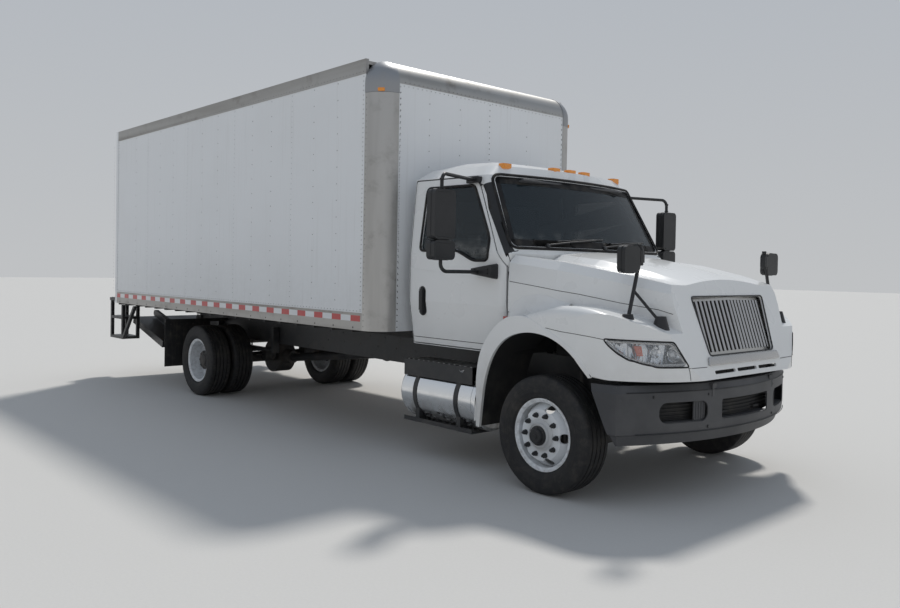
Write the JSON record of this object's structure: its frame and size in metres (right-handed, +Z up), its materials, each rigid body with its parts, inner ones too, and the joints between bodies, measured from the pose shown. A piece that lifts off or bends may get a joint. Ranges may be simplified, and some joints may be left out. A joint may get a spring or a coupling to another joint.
{
  "type": "box truck",
  "caption": "Medium box truck with a tilting hood, opening cab doors, steered front wheels, twin rear wheels and a lift gate tucked under its load box.",
  "frame": {"origin": "under the middle of the truck's length and width, on the floor", "axes": "+X forward along the length, +Y to the driver's left, +Z up"},
  "size_m": [8.9, 3.156, 3.38],
  "materials": {
    "frame_paint": "satin black paint",
    "cab_paint": "gloss white paint",
    "box_paint": "pre-painted white aluminium sheet",
    "box_aluminium": "mill finish extrusions",
    "tank_aluminium": "polished",
    "clear_glass": "clear, with a black border",
    "lamp_lens": "clear lens",
    "amber_lens": "amber lens",
    "bumper_plastic": "grained dark plastic",
    "grille_plastic": "dark bars",
    "cabin_plastic": "grained",
    "seat_fabric": "woven",
    "wheel_steel": "white painted steel",
    "tyre_rubber": "matt",
    "flap_rubber": "matt",
    "cast_metal": "bare casting",
    "deck_wood": "oak boards",
    "exhaust_steel": "dull",
    "gate_metal": "black paint"
  },
  "bodies": {
    "chassis": {"battery_box": "frame_paint", "box_floor": "deck_wood", "box_front_wall": "box_paint", "box_roof": "box_aluminium", "box_sides": "box_paint", "cab_glass": "clear_glass", "cab_shell": "cab_paint", "cab_steps": "frame_paint", "corner_posts": "box_aluminium", "dashboard": "cabin_plastic", "driveshaft": "frame_paint", "engine_block": "cast_metal", "exhaust": "exhaust_steel", "frame_rails": "frame_paint", "front_axle": "cast_metal", "front_bumper": "bumper_plastic", "front_header": "box_aluminium", "fuel_tank": "tank_aluminium", "leaf_springs": "frame_paint", "marker_lamps": "amber_lens", "mud_flaps": "flap_rubber", "radiator": "cast_metal", "rear_axle": "cast_metal", "rear_frame": "box_paint", "roll_up_door": "box_paint", "seats": "seat_fabric", "side_rails": "box_aluminium", "steering_wheel": "cabin_plastic", "step_bumper": "gate_metal"},
    "right_door": {"door_right": "cab_paint", "door_glass_right": "clear_glass", "door_mirror_right": "bumper_plastic", "door_handle_right": "bumper_plastic"},
    "left_door": {"door_left": "cab_paint", "door_glass_left": "clear_glass", "door_mirror_left": "bumper_plastic", "door_handle_left": "bumper_plastic"},
    "tilt_hood": {"hood": "cab_paint", "grille": "grille_plastic", "headlamps": "lamp_lens", "hood_mirrors": "bumper_plastic", "fender_liners": "flap_rubber"},
    "right_knuckle": {"knuckle_right": "cast_metal"},
    "left_knuckle": {"knuckle_left": "cast_metal"},
    "right_front_wheel": {"front_wheel_right": "wheel_steel", "front_tyre_right": "tyre_rubber"},
    "left_front_wheel": {"front_wheel_left": "wheel_steel", "front_tyre_left": "tyre_rubber"},
    "right_rear_wheels": {"rear_wheels_right": "wheel_steel", "rear_tyres_right": "tyre_rubber"},
    "left_rear_wheels": {"rear_wheels_left": "wheel_steel", "rear_tyres_left": "tyre_rubber"},
    "gate_arms": {"liftgate_arms": "gate_metal"},
    "gate_platform": {"liftgate_platform": "gate_metal"}
  },
  "joints": [
    {"name": "right_door_hinge", "type": "hinge", "parent": "chassis", "child": "right_door", "pos_m": [2.995, -1.028, 1.5], "axis": [0, 0, 1], "range_deg": [0, 68]},
    {"name": "left_door_hinge", "type": "hinge", "parent": "chassis", "child": "left_door", "pos_m": [2.995, 1.028, 1.5], "axis": [0, 0, -1], "range_deg": [0, 68]},
    {"name": "hood_tilt", "type": "hinge", "parent": "chassis", "child": "tilt_hood", "pos_m": [4.36, 0, 0.6], "axis": [0, 1, 0], "range_deg": [0, 55]},
    {"name": "right_steer", "type": "hinge", "parent": "chassis", "child": "right_knuckle", "pos_m": [3.53, -0.9, 0.42], "axis": [0, 0, 1], "range_deg": [-38, 38]},
    {"name": "left_steer", "type": "hinge", "parent": "chassis", "child": "left_knuckle", "pos_m": [3.53, 0.9, 0.42], "axis": [0, 0, 1], "range_deg": [-38, 38]},
    {"name": "right_front_spin", "type": "hinge", "parent": "right_knuckle", "child": "right_front_wheel", "pos_m": [3.53, -1.062, 0.42], "axis": [0, 1, 0], "continuous": true},
    {"name": "left_front_spin", "type": "hinge", "parent": "left_knuckle", "child": "left_front_wheel", "pos_m": [3.53, 1.062, 0.42], "axis": [0, 1, 0], "continuous": true},
    {"name": "right_rear_spin", "type": "hinge", "parent": "chassis", "child": "right_rear_wheels", "pos_m": [-2.01, -0.872, 0.42], "axis": [0, 1, 0], "continuous": true},
    {"name": "left_rear_spin", "type": "hinge", "parent": "chassis", "child": "left_rear_wheels", "pos_m": [-2.01, 0.872, 0.42], "axis": [0, 1, 0], "continuous": true},
    {"name": "gate_lower", "type": "hinge", "parent": "chassis", "child": "gate_arms", "pos_m": [-3.47, 0, 0.65], "axis": [0, -1, 0], "range_deg": [0, 24]},
    {"name": "gate_level", "type": "hinge", "parent": "gate_arms", "child": "gate_platform", "pos_m": [-4.26206, 0, 0.86223], "axis": [0, -1, 0], "range_deg": [-24, 0]}
  ],
  "couplings": [
    {"joint": "left_steer", "follows": "right_steer", "ratio": 1},
    {"joint": "gate_level", "follows": "gate_lower", "ratio": -1}
  ]
}
